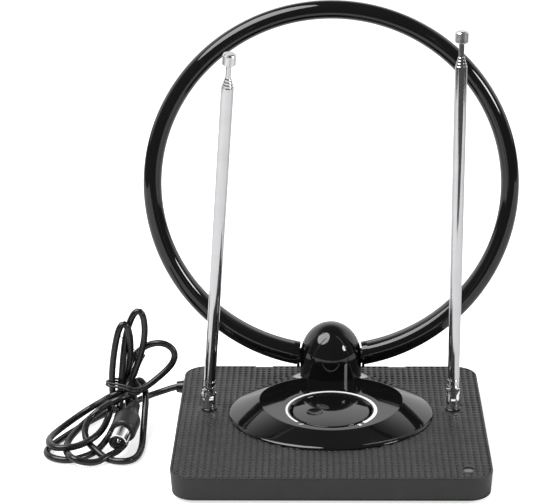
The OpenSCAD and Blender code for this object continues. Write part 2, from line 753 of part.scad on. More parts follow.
module tip_rod(side) {
  bottom = section_bottom(5);
  color(chrome) on_rod(side) translate([0, 0, bottom])
    cylinder(r = tip_d / 2, h = cap_top - 1.6 - bottom);
}
module tip_cap(side) {
  cap_h = 5.8;
  socket_r = tip_d / 2 + 0.02;
  color(chrome) on_rod(side) translate([0, 0, cap_top - cap_h]) rotate_extrude() polygon([
    [socket_r, 0], [2.7, 0], [3.2, 0.45], [3.2, 4.9], [2.85, 5.5], [2.2, cap_h],
    [0, cap_h], [0, 4.25], [socket_r, 4.25]]);
}
module left_foot() { foot(-1); }
module left_foot_screw() { foot_screw(-1); }
module left_pivot_pin() { pivot_pin(-1); }
module left_tongue() { tongue(-1); }
module left_tube_1() { outermost_tube(-1); }
module left_tube_2() { inner_tube(-1, 2); }
module left_tube_3() { inner_tube(-1, 3); }
module left_tube_4() { inner_tube(-1, 4); }
module left_tip_rod() { tip_rod(-1); }
module left_tip_cap() { tip_cap(-1); }
module right_foot() { foot(1); }
module right_foot_screw() { foot_screw(1); }
module right_pivot_pin() { pivot_pin(1); }
module right_tongue() { tongue(1); }
module right_tube_1() { outermost_tube(1); }
module right_tube_2() { inner_tube(1, 2); }
module right_tube_3() { inner_tube(1, 3); }
module right_tube_4() { inner_tube(1, 4); }
module right_tip_rod() { tip_rod(1); }
module right_tip_cap() { tip_cap(1); }

// ---------- cable and plug ----------
// plug: centre of its front ring, and the way its body runs back from there
plug_front = [-106, -20, 9.5];
plug_back = unit([5.7, 30.8, 6.5]);
plug_len = 33;
plug_r = plug_d / 2;
// hank: centre, then the directions of its length, its normal and its width
hank_centre = [-117, 29, 35];
hank_long = unit([0.60, 0.30, 0.68]);
hank_normal = unit([0, 1, 0] - hank_long[1] * hank_long);
hank_across = cross(hank_normal, hank_long);
layer = cable_d + 0.45; // each turn lies this much nearer the front
hank_t = layer * hank_turns;
turn_points = 20;

// a point of the hank; the ovals shrink and fan out a little from turn to turn
function coil_point(i) = let (turns = i / turn_points, angle = 360 * turns,
    fan = 7 * sin(110 * turns),
    x = (hank_a - 2.2 * sin(140 * turns)) * cos(angle),
    y = (hank_b - 1.5 * cos(97 * turns)) * sin(angle))
  hank_centre + (x * cos(fan) - y * sin(fan)) * hank_long
    + (x * sin(fan) + y * cos(fan)) * hank_across
    + (layer * (hank_turns / 2 - turns)) * hank_normal;

// from the board, out through the left wall and along the table
lead_in = [[-40, 22, board_top + cable_d / 2 + 0.4], [-46, 33, 8.2], [-55, 46, 7.6],
  [-64, cable_exit_y - 0.4, cable_exit_z], [-71, cable_exit_y, cable_exit_z],
  [-78, cable_exit_y, cable_exit_z], [-85, cable_exit_y, cable_exit_z - 0.7],
  [-94, cable_exit_y - 1, 4.5], [-103, cable_exit_y - 4.5, 2.6], [-112, cable_exit_y - 11, 2.2]];
// into the back of the plug
lead_out = [plug_front + (plug_len + 13) * plug_back + [2, -2, 6],
  plug_front + (plug_len + 4) * plug_back + [0, 0, 0.6],
  plug_front + (plug_len - 6) * plug_back];
cable_way = concat(lead_in,
  [for (i = [8 : turn_points * hank_turns - 17]) coil_point(i)], lead_out);

module coax_cable() { color(cable_black) cord(smooth(cable_way, 2), cable_d / 2, 10); }
module strain_relief() {
  color(matte_black) translate([-base_w / 2, cable_exit_y, cable_exit_z]) rotate([0, -90, 0])
    difference() {
      union() {
        translate([0, 0, -5.4]) cylinder(r = 4, h = 2.2);
        translate([0, 0, -3.4]) cylinder(r = 2.8, h = 4.4);
        translate([0, 0, 0.25]) cylinder(r1 = 3.6, r2 = 2.9, h = 4);
      }
      translate([0, 0, -9]) cylinder(r = cable_d / 2 + 0.25, h = 20);
    }
}
// turns local x, y, z onto the hank's length, width and normal
module on_hank() {
  azimuth = atan2(hank_normal[1], hank_normal[0]);
  polar = acos(hank_normal[2]);
  turned_x = [cos(polar) * cos(azimuth), cos(polar) * sin(azimuth), -sin(polar)];
  turned_y = [-sin(azimuth), cos(azimuth), 0];
  spin = atan2(hank_long * turned_y, hank_long * turned_x);
  rotate([0, polar, azimuth]) rotate([0, 0, spin]) children();
}
// a tie round the strands on the upper left side of the hank
module cable_tie() {
  color(tie_black) translate(hank_centre - hank_b * hank_across) on_hank() difference() {
    translate([-1.5, -5, -hank_t / 2 - 4]) cube([3, 10, hank_t + 8]);
    translate([-2, -4, -hank_t / 2 - 3]) cube([4, 8, hank_t + 6]);
  }
}

// local z runs back along the plug from its front ring
module on_plug() {
  translate(plug_front)
    rotate([0, acos(plug_back[2]), atan2(plug_back[1], plug_back[0])]) children();
}
module plug_body() {
  grip_r = 6.6;
  neck_start_r = 3.6;
  color(matte_black) on_plug() difference() {
    union() {
      translate([0, 0, 9]) cylinder(r1 = 5.9, r2 = grip_r, h = 1);
      translate([0, 0, 10]) cylinder(r = grip_r, h = 9.3);
      translate([0, 0, 19.3]) cylinder(r1 = grip_r, r2 = neck_start_r, h = 6);
      translate([0, 0, 25.3]) cylinder(r1 = neck_start_r, r2 = 2.7, h = plug_len - 25.3);
    }
    translate([0, 0, 8]) cylinder(r = plug_r - 0.28, h = 8.2);
    translate([0, 0, 14]) cylinder(r = cable_d / 2 + 0.15, h = 30);
  }
}
module plug_ring() {
  color(chrome) on_plug() difference() {
    union() {
      cylinder(r = plug_r, h = 8.6);
      translate([0, 0, 8]) cylinder(r = plug_r - 0.3, h = 8);
    }
    translate([0, 0, -1]) cylinder(r = plug_r - 0.65, h = 20);
  }
}
module plug_insulator() {
  color(insulator_black) on_plug() translate([0, 0, 4]) ring(plug_r - 0.67, 1.22, 11.5);
}
module plug_pin() {
  color(brass) on_plug() {
    translate([0, 0, 0.8]) cylinder(r1 = 0.7, r2 = 1.2, h = 0.8);
    translate([0, 0, 1.6]) cylinder(r = 1.2, h = 14);
  }
}

base_tub();
top_panel();
anti_slip_pad();
case_screws();
ballast_plate();
bezel();
scale_arc();
scale_marks();
neck_front();
neck_rear();
neck_clamp_screws();
neck_base_screws();
circuit_board();
board_screws();
shield_can();
board_components();
potentiometer();
pot_nut();
led();
led_lens();
led_wires();
rod_collars();
rod_contact_lugs();
rod_lead_wires();
loop_lead_wires();
strain_relief();
coax_cable();
cable_tie();
plug_body();
plug_ring();
plug_insulator();
plug_pin();
knob();
pot_shaft();
loop_front_shell();
loop_rear_shell();
loop_conductor();
loop_trunnion_left();
loop_trunnion_right();
left_foot();
left_foot_screw();
left_pivot_pin();
left_tongue();
left_tube_1();
left_tube_2();
left_tube_3();
left_tube_4();
left_tip_rod();
left_tip_cap();
right_foot();
right_foot_screw();
right_pivot_pin();
right_tongue();
right_tube_1();
right_tube_2();
right_tube_3();
right_tube_4();
right_tip_rod();
right_tip_cap();
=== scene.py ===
"""Indoor antenna: a hollow loop and two telescopic rods on a black base, with a knob and a cable.

The base stands on the table at z = 0. +Z is up, the front faces -Y, and the cable leaves on the
left, at -X. The neck that carries the loop is at the back. Lengths are in millimetres unless
noted, and become metres where meshes are made.
"""
import math
import bpy
import bmesh
import numpy as np
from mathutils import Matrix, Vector


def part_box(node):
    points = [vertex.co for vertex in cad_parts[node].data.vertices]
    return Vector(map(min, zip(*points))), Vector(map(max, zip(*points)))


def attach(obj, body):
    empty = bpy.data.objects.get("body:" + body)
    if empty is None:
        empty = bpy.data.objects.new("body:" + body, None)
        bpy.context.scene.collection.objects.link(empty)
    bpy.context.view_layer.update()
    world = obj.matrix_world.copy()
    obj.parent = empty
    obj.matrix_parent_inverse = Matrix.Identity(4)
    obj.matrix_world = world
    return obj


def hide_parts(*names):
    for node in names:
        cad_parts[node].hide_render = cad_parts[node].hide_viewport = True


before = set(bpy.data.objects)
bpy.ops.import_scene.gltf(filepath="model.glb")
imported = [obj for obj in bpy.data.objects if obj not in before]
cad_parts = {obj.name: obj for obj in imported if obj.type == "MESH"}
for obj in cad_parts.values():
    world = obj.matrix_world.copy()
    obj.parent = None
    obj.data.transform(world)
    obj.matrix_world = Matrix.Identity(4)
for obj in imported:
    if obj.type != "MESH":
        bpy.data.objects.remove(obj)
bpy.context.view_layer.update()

MM = 0.001
scene = bpy.context.scene


# ------------------------------------------------------------------ shader helpers

class Shader:
    """The node tree of a material or world, with short calls for the nodes used here."""

    def __init__(self, owner, output, surface):
        owner.use_nodes = True
        self.tree = owner.node_tree
        self.tree.nodes.clear()
        end = self.node(output)
        self.surface = self.node(surface)
        self.tree.links.new(self.surface.outputs[0], end.inputs[0])
        self.coords = self.node("TexCoord").outputs

    def set(self, node, inputs):
        """Links each input to a socket, or gives it a plain value."""
        for key, value in inputs.items():
            if isinstance(value, bpy.types.NodeSocket):
                self.tree.links.new(value, node.inputs[key])
            else:
                node.inputs[key].default_value = value

    def node(self, kind, inputs={}):
        node = self.tree.nodes.new("ShaderNode" + kind)
        self.set(node, inputs)
        return node

    def noise(self, scale, detail=3.0, roughness=0.55, stretch=None):
        vector = self.coords["Object"]
        if stretch:
            vector = self.node("Mapping", {"Scale": stretch, "Vector": vector}).outputs["Vector"]
        settings = {"Scale": scale, "Detail": detail, "Roughness": roughness, "Vector": vector}
        return self.node("TexNoise", settings).outputs["Fac"]

    def remap(self, value, source, target=(0.0, 1.0), kind="LINEAR"):
        node = self.node("MapRange", {
            "From Min": source[0], "From Max": source[1],
            "To Min": target[0], "To Max": target[1], "Value": value})
        node.interpolation_type = kind
        return node.outputs["Result"]

    def mix(self, factor, first, second):
        """Blends two colours, each a socket or an RGB tuple."""
        node = self.node("Mix")
        node.data_type = "RGBA"
        first, second = ((*c, 1) if isinstance(c, tuple) else c for c in (first, second))
        self.set(node, {0: factor, 6: first, 7: second})
        return node.outputs[2]

    def maths(self, operation, first, second):
        node = self.node("Math", {0: first, 1: second})
        node.operation = operation
        return node.outputs[0]

    def times(self, first, second):
        return self.maths("MULTIPLY", first, second)

    def bump(self, height, strength, distance):
        """Roughens the surface; the distance is in metres."""
        node = self.node("Bump", {"Strength": strength, "Distance": distance, "Height": height})
        self.set(self.surface, {"Normal": node.outputs[0]})


def new_material(name):
    material = bpy.data.materials.new(name)
    return material, Shader(material, "OutputMaterial", "BsdfPrincipled")


def scaled(colour, factor):
    return tuple(c * factor for c in colour)


# ------------------------------------------------------------------ materials

def plastic(name, base, rough, worn=None, vary=0.12, grain=2600.0, grain_mm=0.03,
            grain_strength=0.2, patch=60.0, wear=0.5, rough_vary=0.08):
    """Moulded plastic: cloudy colour, fine grain and uneven gloss.

    Where a worn colour is given, the edges are rubbed. Patch and grain are noise scales.
    """
    material, shader = new_material(name)
    cloud = shader.remap(shader.noise(patch, detail=4.0), source=(0.3, 0.7))
    colour = shader.mix(cloud, scaled(base, 1 - vary), scaled(base, 1 + vary))
    if worn:
        scuff = shader.remap(shader.noise(700.0, detail=2.0), source=(0.4, 0.65),
                             target=(0.2, 1.0))
        pointiness = shader.node("NewGeometry").outputs["Pointiness"]
        edge = shader.remap(pointiness, source=(0.53, 0.62))
        colour = shader.mix(shader.times(shader.times(edge, scuff), wear), colour, worn)
    smear = shader.noise(patch * 3.3, detail=5.0)
    shader.set(shader.surface, {
        "Base Color": colour,
        "Roughness": shader.remap(smear, source=(0.25, 0.75),
                                  target=(rough - rough_vary, rough + rough_vary)),
        "IOR": 1.5,
        "Coat Roughness": 0.04,
    })
    shader.bump(shader.noise(grain, detail=2.0), grain_strength, grain_mm * MM)
    return material


def metal(name, base, rough, tarnish, patch=180.0, drawn=False):
    """Metal with patches of tarnish and uneven gloss; drawn metal has fine lines along Z."""
    material, shader = new_material(name)
    cloud = shader.remap(shader.noise(patch, detail=4.0), source=(0.45, 0.8), target=(0.0, 0.6))
    smear = shader.noise(patch * 2.0, detail=5.0)
    shader.set(shader.surface, {
        "Base Color": shader.mix(cloud, scaled(base, 1.05), tarnish),
        "Metallic": 1.0,
        "Roughness": shader.remap(smear, source=(0.3, 0.7), target=(rough * 0.75, rough * 1.35)),
    })
    if drawn:
        relief = shader.noise(900.0, detail=2.0, roughness=0.5, stretch=(1.0, 1.0, 0.02))
    else:
        relief = shader.noise(2200.0, detail=2.0)
    shader.bump(relief, strength=0.06, distance=0.01 * MM)
    return material


MAT = {
    "tub": plastic("moulded_black_tub", base=(0.009, 0.009, 0.0094), rough=0.46,
                   worn=(0.035, 0.035, 0.036), grain=2400.0, grain_strength=0.25, patch=35.0,
                   wear=0.45),
    "panel": plastic("embossed_black_panel", base=(0.0105, 0.0105, 0.011), rough=0.46,
                     worn=(0.04, 0.04, 0.041), grain=2800.0, grain_strength=0.3, patch=28.0,
                     wear=0.35),
    "gloss": plastic("gloss_black_shell", base=(0.0045, 0.0045, 0.005), rough=0.055,
                     worn=(0.012, 0.012, 0.013), vary=0.15, grain=420.0, grain_mm=0.004,
                     grain_strength=0.08, patch=45.0, wear=0.25, rough_vary=0.025),
    "collar": plastic("satin_black_collar", base=(0.01, 0.01, 0.0105), rough=0.24,
                      worn=(0.04, 0.04, 0.04), grain=1800.0, patch=120.0, wear=0.3),
    "rubber": plastic("black_rubber_pad", base=(0.022, 0.022, 0.022), rough=0.8,
                      worn=(0.05, 0.05, 0.05), grain=1800.0, grain_strength=0.4, wear=0.3),
    "cable": plastic("black_pvc_jacket", base=(0.007, 0.007, 0.0073), rough=0.27, vary=0.2,
                     grain=1500.0, grain_strength=0.14, patch=120.0, rough_vary=0.07),
    "plug": plastic("satin_black_plug", base=(0.015, 0.015, 0.0155), rough=0.36,
                    worn=(0.05, 0.05, 0.05), grain=1900.0, grain_strength=0.3, patch=140.0,
                    wear=0.4),
    "insul": plastic("black_insulator", base=(0.02, 0.02, 0.02), rough=0.42,
                     worn=(0.04, 0.04, 0.04), grain=1500.0, grain_strength=0.3, patch=200.0,
                     wear=0.2),
    "tie": plastic("black_twist_tie", base=(0.012, 0.012, 0.012), rough=0.35,
                   worn=(0.05, 0.05, 0.05), grain=1400.0, grain_strength=0.3, patch=300.0,
                   wear=0.2),
    "print": plastic("silver_white_print", base=(0.83, 0.83, 0.84), rough=0.4, vary=0.03,
                     grain=3000.0, grain_strength=0.1, patch=90.0),
    "chrome": metal("chrome_plate", base=(0.8, 0.8, 0.81), rough=0.075,
                    tarnish=(0.66, 0.66, 0.67)),
    "chrome_rod": metal("drawn_chrome_tube", base=(0.52, 0.52, 0.53), rough=0.085,
                        tarnish=(0.46, 0.46, 0.47), patch=70.0, drawn=True),
    "cap": metal("turned_cap_chrome", base=(0.62, 0.62, 0.63), rough=0.27,
                 tarnish=(0.5, 0.5, 0.51)),
    "steel": metal("zinc_plated_steel", base=(0.58, 0.59, 0.62), rough=0.3,
                   tarnish=(0.45, 0.46, 0.47)),
    "brass": metal("tinned_brass", base=(0.72, 0.56, 0.28), rough=0.25,
                   tarnish=(0.5, 0.37, 0.18)),
    "board": plastic("green_circuit_board", base=(0.02, 0.15, 0.06), rough=0.3,
                     worn=(0.1, 0.25, 0.12), grain=900.0, grain_strength=0.15, patch=200.0,
                     wear=0.3),
    "part": plastic("black_components", base=(0.03, 0.03, 0.033), rough=0.45,
                    worn=(0.08, 0.08, 0.08), patch=300.0),
    "red": plastic("red_wire", base=(0.45, 0.03, 0.02), rough=0.4, patch=200.0),
    "white": plastic("white_wire", base=(0.6, 0.6, 0.57), rough=0.42, patch=200.0),
    "led": plastic("green_led_epoxy", base=(0.12, 0.42, 0.16), rough=0.2, patch=300.0),
    # the smoked lens is painted a lighter grey than its own dark tint: painted reflection
    "lens": plastic("smoked_lens_painted_reflection", base=(0.17, 0.17, 0.175), rough=0.2,
                    worn=(0.25, 0.25, 0.25), patch=300.0, wear=0.1, grain_strength=0.05),
}
# material -> CAD pieces; the rods go by their endings, and all other pieces are gloss
CAD_PIECES = {
    "steel": ("case_screws", "ballast_plate", "neck_clamp_screws", "neck_base_screws",
              "board_screws", "shield_can", "potentiometer", "pot_nut", "pot_shaft"),
    "rubber": ("anti_slip_pad",),
    "board": ("circuit_board",),
    "part": ("board_components",),
    "led": ("led",),
    "lens": ("led_lens",),
    "red": ("led_wires",),
    "collar": ("rod_collars",),
    "brass": ("rod_contact_lugs", "loop_lead_wires", "loop_conductor"),
    "white": ("rod_lead_wires",),
    "cable": ("strain_relief", "coax_cable"),
    "insul": ("plug_insulator",),
    "chrome": ("plug_pin", "plug_ring"),
    "print": ("scale_arc", "scale_marks"),
    "tie": ("cable_tie",),
    "plug": ("plug_body",),
    "tub": ("base_tub",),
    "panel": ("top_panel",),
}


def cad_material(piece):
    for key, pieces in CAD_PIECES.items():
        if piece in pieces:
            return MAT[key]
    if not piece.startswith(("left_", "right_")):
        return MAT["gloss"]
    if piece.endswith("foot_screw"):
        return MAT["steel"]
    if piece.endswith("cap"):
        return MAT["cap"]
    return MAT["chrome" if piece.endswith(("foot", "pin", "tongue")) else "chrome_rod"]


for node_name, node_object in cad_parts.items():
    node_object.data.materials.clear()
    node_object.data.materials.append(cad_material(node_name))


# ------------------------------------------------------------------ mesh helpers

def mesh_from(name, verts, faces):
    """A mesh in metres from points in millimetres."""
    mesh = bpy.data.meshes.new(name)
    mesh.from_pydata([tuple(float(c) * MM for c in v) for v in verts], [],
                     [tuple(int(i) for i in f) for f in faces])
    return mesh


def recalc_normals(mesh):
    work = bmesh.new()
    work.from_mesh(mesh)
    bmesh.ops.recalc_face_normals(work, faces=work.faces)
    work.to_mesh(mesh)
    work.free()


def link_object(name, mesh):
    made = bpy.data.objects.new(name, mesh)
    scene.collection.objects.link(made)
    return made


def finish_piece(name, mesh, material, body, replaced, angle):
    """Makes the final object; edges sharper than the angle, in degrees, stay sharp."""
    recalc_normals(mesh)
    mesh.shade_smooth()
    mesh.set_sharp_from_angle(angle=math.radians(angle))
    mesh.materials.clear()
    mesh.materials.append(material)
    piece = link_object(name, mesh)
    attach(piece, body)
    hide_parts(replaced)


def add_piece(name, shape, material, body, replaced, angle):
    mesh = mesh_from(name, *shape)
    mesh.validate()
    finish_piece(name, mesh, material, body, replaced, angle)


def solid(name, verts, faces):
    """A temporary object for booleans."""
    mesh = mesh_from(name, verts, faces)
    recalc_normals(mesh)
    return link_object(name, mesh)


def drop(item):
    mesh = item.data
    bpy.data.objects.remove(item)
    bpy.data.meshes.remove(mesh)


def finish_solid(name, work, material, replaced, angle):
    """Turns a temporary object into a final piece of the base."""
    mesh = work.data.copy()
    drop(work)
    finish_piece(name, mesh, material, "base", replaced, angle)


def combine(work, others, operation):
    """Applies exact booleans of the others to the work object, and drops the others."""
    for other in others:
        boolean = work.modifiers.new("cut", "BOOLEAN")
        boolean.operation = operation
        boolean.solver = "EXACT"
        boolean.object = other
    bpy.context.view_layer.update()
    depsgraph = bpy.context.evaluated_depsgraph_get()
    mesh = bpy.data.meshes.new_from_object(work.evaluated_get(depsgraph))
    work.modifiers.clear()
    old_mesh = work.data
    work.data = mesh
    for other in others:
        drop(other)
    bpy.data.meshes.remove(old_mesh)


def loft(rings, close_loop=False, capped=False):
    """Rings of equal point count, joined by quads."""
    sides, count = len(rings[0]), len(rings)
    verts = [point for ring in rings for point in ring]
    faces = []
    for i in range(count if close_loop else count - 1):
        here, after = i * sides, ((i + 1) % count) * sides
        for j in range(sides):
            k = (j + 1) % sides
            faces.append((here + j, here + k, after + k, after + j))
    if capped:
        faces.append(tuple(range(sides - 1, -1, -1)))
        faces.append(tuple((count - 1) * sides + j for j in range(sides)))
    return verts, faces


def rounded_rect(width, depth, radius, z, segments=12):
    points = []
    for side_x, side_y, start in ((1, 1, 0), (-1, 1, 90), (-1, -1, 180), (1, -1, 270)):
        for i in range(segments + 1):
            angle = math.radians(start + 90 * i / segments)
            points.append((side_x * (width / 2 - radius) + radius * math.cos(angle),
                           side_y * (depth / 2 - radius) + radius * math.sin(angle), z))
    return points


def revolve(profile, sides, origin, axis=(0, 0, 1)):
    """Turns a closed profile of (radius, height) points round an axis.

    A radius of 0 at both ends makes a solid, and otherwise the result is a ring.
    """
    axis = Vector(axis).normalized()
    across = axis.orthogonal().normalized()
    third = axis.cross(across)
    origin = Vector(origin)
    verts, faces, rows = [], [], []
    for radius, height in profile:
        count = sides if radius else 1
        rows.append([len(verts) + j for j in range(count)])
        for j in range(count):
            turn = 2 * math.pi * j / sides
            verts.append(tuple(origin + axis * height + across * (radius * math.cos(turn))
                               + third * (radius * math.sin(turn))))
    for row, after in zip(rows, rows[1:] + rows[:1]):
        if len(row) == 1 and len(after) == 1:
            continue
        for j in range(sides):
            k = (j + 1) % sides
            if len(row) == 1:
                faces.append((row[0], after[k], after[j]))
            elif len(after) == 1:
                faces.append((row[j], row[k], after[0]))
            else:
                faces.append((row[j], row[k], after[k], after[j]))
    return verts, faces


def cylinder(origin, radius, low, high, sides, axis=(0, 0, 1)):
    profile = [(0, low), (radius, low), (radius, high), (0, high)]
    return solid("post", *revolve(profile, sides, origin, axis))


def posts(places, radius, low, high, sides=32):
    """Upright cylinders at (x, y) places, between two heights."""
    return [cylinder((x, y, 0), radius, low, high, sides) for x, y in places]


def block(x_range, y_range, z_range):
    verts = [(x, y, z) for x in x_range for y in y_range for z in z_range]
    return solid("block", verts, [(0, 1, 3, 2), (4, 6, 7, 5), (0, 4, 5, 1), (2, 3, 7, 6),
                                  (0, 2, 6, 4), (1, 5, 7, 3)])


def box_mm(name):
    return [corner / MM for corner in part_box(name)]


# ------------------------------------------------------------------ shared sizes and places

tub_lo, tub_hi = box_mm("base_tub")
BASE_W, BASE_D = tub_hi.x - tub_lo.x, tub_hi.y - tub_lo.y
TUB_BOTTOM, TUB_TOP = tub_lo.z, tub_hi.z
PANEL_BOTTOM = TUB_TOP - 1.5
CORNER_R = 12.0
DRAFT = 0.8                 # how far the walls lean in, from the top to the bottom
RIM = 1.2                   # width of the rim round the panel
WALL = 2.8
PANEL_GAP = 0.2             # between the rim and the panel
SCREWS = [(sx * 55, sy * 57) for sx in (-1, 1) for sy in (-1, 1)]
CABLE_EXIT = (-BASE_W / 2, 54.0, 7.5)

NECK = (0.0, 49.0)
NECK_R = 16.0
RODS = [(sx * 62.2, 12.8) for sx in (-1, 1)]
LED = (65.6, -57.9)
PEGS = ((-40, 7), (40, 7), (0, -31))    # pegs under the bezel

BEZEL_TOP = box_mm("bezel")[1].z
BEZEL_BOTTOM = TUB_TOP + 0.02
knob_lo, knob_hi = box_mm("knob")
KNOB_Y = (knob_lo.y + knob_hi.y) / 2
KNOB_R = (knob_hi.x - knob_lo.x) / 2
WELL_R = KNOB_R + 0.5


# ------------------------------------------------------------------ base tub

def tub_ring(inset, z):
    return rounded_rect(BASE_W - 2 * inset, BASE_D - 2 * inset, CORNER_R - inset, z)


def wall_inset(z):
    return DRAFT * (TUB_TOP - z) / (TUB_TOP - TUB_BOTTOM)


def build_tub():
    low, top = TUB_BOTTOM, TUB_TOP
    foot = wall_inset(low)
    # (inset, height): up the outside past a fine groove, over the rim and down inside
    profile = [
        (foot + 0.55, low), (foot + 0.3, low + 0.05), (foot + 0.1, low + 0.2), (foot, low + 0.5),
        (wall_inset(low + 0.9), low + 0.9), (wall_inset(low + 1.0) + 0.16, low + 0.98),
        (wall_inset(low + 1.2) + 0.16, low + 1.2), (wall_inset(low + 1.3), low + 1.3),
        (wall_inset(low + 5.0), low + 5.0), (wall_inset(top - 0.6), top - 0.6),
        (0.03, top - 0.3), (0.13, top - 0.1), (0.33, top),
        (RIM - 0.25, top), (RIM - 0.06, top - 0.07), (RIM, top - 0.25), (RIM, PANEL_BOTTOM),
        (WALL, PANEL_BOTTOM), (WALL, low + 2.2), (WALL + 0.4, low + 1.8),
    ]
    tub = solid("base_shell", *loft([tub_ring(*station) for station in profile], capped=True))
    # two notches in the back rim, screw holes with head recesses, and the cable hole
    cuts = [block((x - 4.5, x + 4.5), (BASE_D / 2 - 3, BASE_D / 2 + 3), (top - 0.5, top + 2))
            for x in (-35.5, 35.5)]
    cuts += posts(SCREWS, 1.4, 0, 8) + posts(SCREWS, 2.5, 0, low + 0.9)
    cuts.append(cylinder(CABLE_EXIT, 2.9, -6, 6, 40, axis=(-1, 0, 0)))
    combine(tub, cuts, "DIFFERENCE")
    finish_solid("base_tub_shell", tub, MAT["tub"], "base_tub", 28.0)


build_tub()

# ------------------------------------------------------------------ outlines of the oval bezel
# An outline is the list of its radii along rays from CENTRE, one for each angle in PHI.
CENTRE = np.array((0.0, 5.0))
RAY_COUNT = 288
PHI = np.arange(RAY_COUNT) * 2 * math.pi / RAY_COUNT
RAYS = np.array([(math.cos(p), math.sin(p)) for p in PHI])
# ellipses inside the foot, as (centre x, centre y, half width, half depth)
FOOT_ELLIPSES = [(0, 7.0, 51.7, 44.2), (0, NECK[1] - 1.5, NECK_R + 2.3, NECK_R + 2.3)]


def hull_radius(ellipses):
    """The convex outline round some ellipses."""
    angles = np.linspace(0, 2 * math.pi, 2880, endpoint=False)
    reach = np.max([(x - CENTRE[0]) * np.cos(angles) + (y - CENTRE[1]) * np.sin(angles)
                    + np.hypot(half_w * np.cos(angles), half_d * np.sin(angles))
                    for x, y, half_w, half_d in ellipses], axis=0)
    radii = []
    for phi in PHI:
        cosine = np.cos(angles - phi)
        facing = cosine > 0.05
        radii.append(np.min(reach[facing] / cosine[facing]))
    return np.array(radii)


def smooth_outline(radii, sigma):
    """A Gaussian blur; sigma counts rays."""
    offsets = np.arange(-12, 13)
    weights = np.exp(-0.5 * (offsets / sigma) ** 2)
    weights /= weights.sum()
    return sum(weight * np.roll(radii, k) for weight, k in zip(weights, offsets))


def egg_radius(half_width, half_front, half_back, middle_y):
    """Two half ellipses of one width that meet at middle_y, found by bisection."""
    low, high = np.zeros(RAY_COUNT), np.full(RAY_COUNT, 90.0)
    for _ in range(50):
        middle = (low + high) / 2
        x, y = (CENTRE + middle[:, None] * RAYS).T
        half_depth = np.where(y > middle_y, half_back, half_front)
        inside = (x / half_width) ** 2 + ((y - middle_y) / half_depth) ** 2 < 1
        low, high = np.where(inside, middle, low), np.where(inside, high, middle)
    return low


def well_radius(extra=0.0):
    """A circle round the knob, wider than its well by the extra."""
    offset = CENTRE[1] - KNOB_Y
    along = offset * RAYS[:, 1]
    return -along + np.sqrt(along * along - (offset * offset - (WELL_R + extra) ** 2))


foot_hull = hull_radius(FOOT_ELLIPSES)
R_FOOT = np.minimum(smooth_outline(foot_hull, 2.2), foot_hull)
R_TOP = smooth_outline(egg_radius(36.5, 40.0, 27.3, 12.6), 1.5)


def outline_ring(radii, z):
    """Points of an outline at one height, or at a height for each ray."""
    heights = np.broadcast_to(z, radii.shape)
    return [(CENTRE[0] + r * ray_x, CENTRE[1] + r * ray_y, height)
            for r, (ray_x, ray_y), height in zip(radii, RAYS, heights)]


# ------------------------------------------------------------------ bezel

def bezel_rings():
    """Closed section: up the knob well, across the flat top, down the flank, back underneath."""
    top = BEZEL_TOP
    lip = TUB_TOP + 0.95            # height at which the round-over would meet the foot
    round_in = 1.2                  # how far in from the foot the flank starts to round over
    rings = [outline_ring(well_radius(extra), z) for extra, z in (
        (0.0, BEZEL_BOTTOM), (0.0, top - 0.62), (0.06, top - 0.5), (0.95, top - 0.06),
        (1.1, top))]
    for share in (0.3, 0.65, 0.9):
        rings.append(outline_ring(well_radius(1.1) * (1 - share) + (R_TOP - 0.35) * share, top))
    rings.append(outline_ring(R_TOP - 0.35, top))
    rings.append(outline_ring(R_TOP - 0.12, top - 0.02))

    run = R_FOOT - R_TOP
    straight = 1 - round_in / run   # share of the flank before the round-over
    crest = top - 0.08
    for step in (0.01, 0.08, 0.2, 0.35, 0.5, 0.65, 0.8, 0.93, 1.0):
        share = step * straight
        rings.append(outline_ring(R_TOP + run * share, crest - (crest - lip) * share))
    bend_z = crest - (crest - lip) * straight
    for t in (0.15, 0.3, 0.45, 0.6, 0.75, 0.9, 1.0):
        first, middle, last = (1 - t) ** 2, 2 * t * (1 - t), t * t
        rings.append(outline_ring((R_FOOT - round_in) * first + R_FOOT * (middle + last),
                                  bend_z * first + lip * middle + (lip - 0.6) * last))

    rings += [outline_ring(radii, z) for radii, z in (
        (R_FOOT, BEZEL_BOTTOM), (R_FOOT - 1.6, BEZEL_BOTTOM),
        (R_TOP + run * 0.72 - 0.6, TUB_TOP + 1.6), (R_TOP - 1.4, top - 1.5),
        (well_radius(1.6), top - 1.5), (well_radius(1.6), BEZEL_BOTTOM))]
    return rings


def build_bezel():
    bezel = solid("bezel_work", *loft(bezel_rings(), close_loop=True))
    combine(bezel, posts([NECK], NECK_R + 0.15, TUB_TOP - 2, BEZEL_TOP + 6, 128), "DIFFERENCE")
    combine(bezel, posts(PEGS, 1.5, TUB_TOP - 2.2, TUB_TOP + 3.5, 24), "UNION")
    finish_solid("bezel_shell", bezel, MAT["gloss"], "bezel", 24.0)


build_bezel()

# ------------------------------------------------------------------ waffled top panel
PITCH = 3.1
CELLS_X, CELLS_Y = 50, 44
STOCK_BOTTOM = 2.0
# octagonal rings of a pit, as (half size, corner cut, depth)
PIT_RINGS = ((1.05, 0.38, 0.0), (0.93, 0.36, 0.12), (0.72, 0.3, 0.42))


def is_plain(x, y):
    """Cells round the rods, at the LED and under the bezel have no pit."""
    angle = math.atan2(y - CENTRE[1], x - CENTRE[0])
    foot = R_FOOT[int(round(angle / (2 * math.pi) * RAY_COUNT)) % RAY_COUNT]
    return (min(math.hypot(x - rod_x, y - rod_y) for rod_x, rod_y in RODS) < 5.4
            or math.hypot(x - LED[0], y - LED[1]) < 3.9
            or math.hypot(x - CENTRE[0], y - CENTRE[1]) < foot - 4.0)


